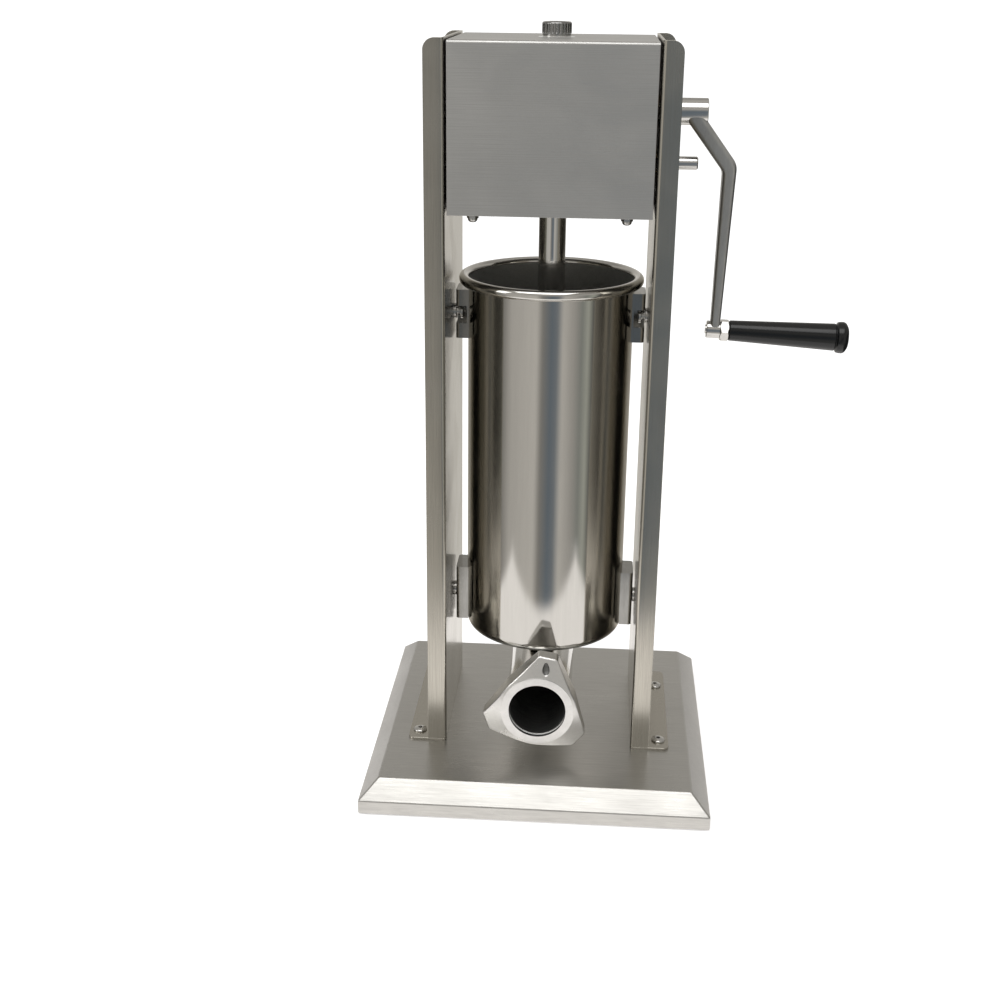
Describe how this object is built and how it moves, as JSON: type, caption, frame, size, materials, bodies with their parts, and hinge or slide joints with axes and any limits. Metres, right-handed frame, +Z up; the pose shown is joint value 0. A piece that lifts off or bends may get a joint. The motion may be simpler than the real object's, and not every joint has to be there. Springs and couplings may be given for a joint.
{
  "type": "sausage stuffer",
  "caption": "Upright hand-cranked meat press: steel barrel between two channel uprights, rack-driven piston, two-speed gearbox, side crank and a lobed ring nut at the outlet.",
  "frame": {"origin": "on the floor, at the middle of the base", "axes": "+Z up along the barrel, -Y towards the outlet, +X towards the crank"},
  "size_m": [0.4076, 0.3, 0.6423],
  "materials": {
    "satin_steel": "brushed",
    "base_steel": "satin",
    "polished_steel": "polished",
    "machined_steel": "machined",
    "cast_metal": "cast, blasted",
    "fastener_steel": "bright",
    "bronze": "turned",
    "guide_plastic": "moulded",
    "seal_rubber": "moulded silicone",
    "foot_rubber": "moulded",
    "grip_plastic": "gloss"
  },
  "bodies": {
    "frame": {"base_plate": "base_steel", "rubber_feet": "foot_rubber", "upright_left": "satin_steel", "upright_right": "satin_steel", "foot_screws": "fastener_steel", "foot_nuts": "fastener_steel", "gearbox_cover": "satin_steel", "gearbox_floor": "satin_steel", "tab_screws": "fastener_steel", "tab_nuts": "fastener_steel", "cover_screws": "fastener_steel", "dome_nuts": "fastener_steel", "rod_guide_top": "guide_plastic", "rod_guide_bottom": "guide_plastic", "main_bush_left": "bronze", "main_bush_right": "bronze", "slow_bush_left": "bronze", "slow_bush_right": "bronze", "barrel_studs": "fastener_steel", "stud_nuts": "fastener_steel", "bracket_upper_left": "satin_steel", "bracket_upper_right": "satin_steel", "bracket_lower_left": "satin_steel", "bracket_lower_right": "satin_steel", "barrel": "polished_steel", "outlet_pipe": "polished_steel", "outlet_seal": "seal_rubber"},
    "ring_nut": {"ring_nut": "cast_metal"},
    "piston": {"piston_rod": "machined_steel", "rod_cap": "fastener_steel", "piston_plate_lower": "machined_steel", "piston_plate_upper": "machined_steel", "piston_gasket": "seal_rubber", "piston_nut": "fastener_steel"},
    "air_valve": {"air_valve": "guide_plastic"},
    "crank": {"main_shaft": "machined_steel", "main_keys": "machined_steel", "rack_pinion": "machined_steel", "drive_gear": "machined_steel", "main_spacers": "machined_steel", "crank_arm": "cast_metal", "crank_screw": "fastener_steel", "grip_bolt": "fastener_steel", "grip_nut": "fastener_steel"},
    "slow_shaft": {"slow_shaft": "machined_steel", "slow_spacers": "machined_steel"},
    "grip": {"grip": "grip_plastic"}
  },
  "joints": [
    {"name": "crank_turn", "type": "hinge", "parent": "frame", "child": "crank", "pos_m": [0, 0.0375, 0.572], "axis": [-1, 0, 0], "range_deg": [0, 1319.7]},
    {"name": "piston_slide", "type": "slide", "parent": "frame", "child": "piston", "axis": [0, 0, 1], "range_m": [0, 0.3462]},
    {"name": "slow_shaft_turn", "type": "hinge", "parent": "frame", "child": "slow_shaft", "pos_m": [0, 0.0375, 0.53], "axis": [-1, 0, 0], "range_deg": [-4850, 0]},
    {"name": "grip_spin", "type": "hinge", "parent": "crank", "child": "grip", "pos_m": [0.1473, 0.0375, 0.388], "axis": [0.9993, 0, -0.0384], "continuous": true},
    {"name": "air_valve_lift", "type": "slide", "parent": "piston", "child": "air_valve", "axis": [0, 0, 1], "range_m": [0, 0.002]},
    {"name": "ring_nut_turn", "type": "hinge", "parent": "frame", "child": "ring_nut", "pos_m": [0, -0.101, 0.0805], "axis": [0, -1, 0], "continuous": true}
  ],
  "couplings": [
    {"joint": "piston_slide", "follows": "crank_turn", "m_per_rad": 0.015},
    {"joint": "slow_shaft_turn", "follows": "crank_turn", "ratio": -3.6667}
  ]
}
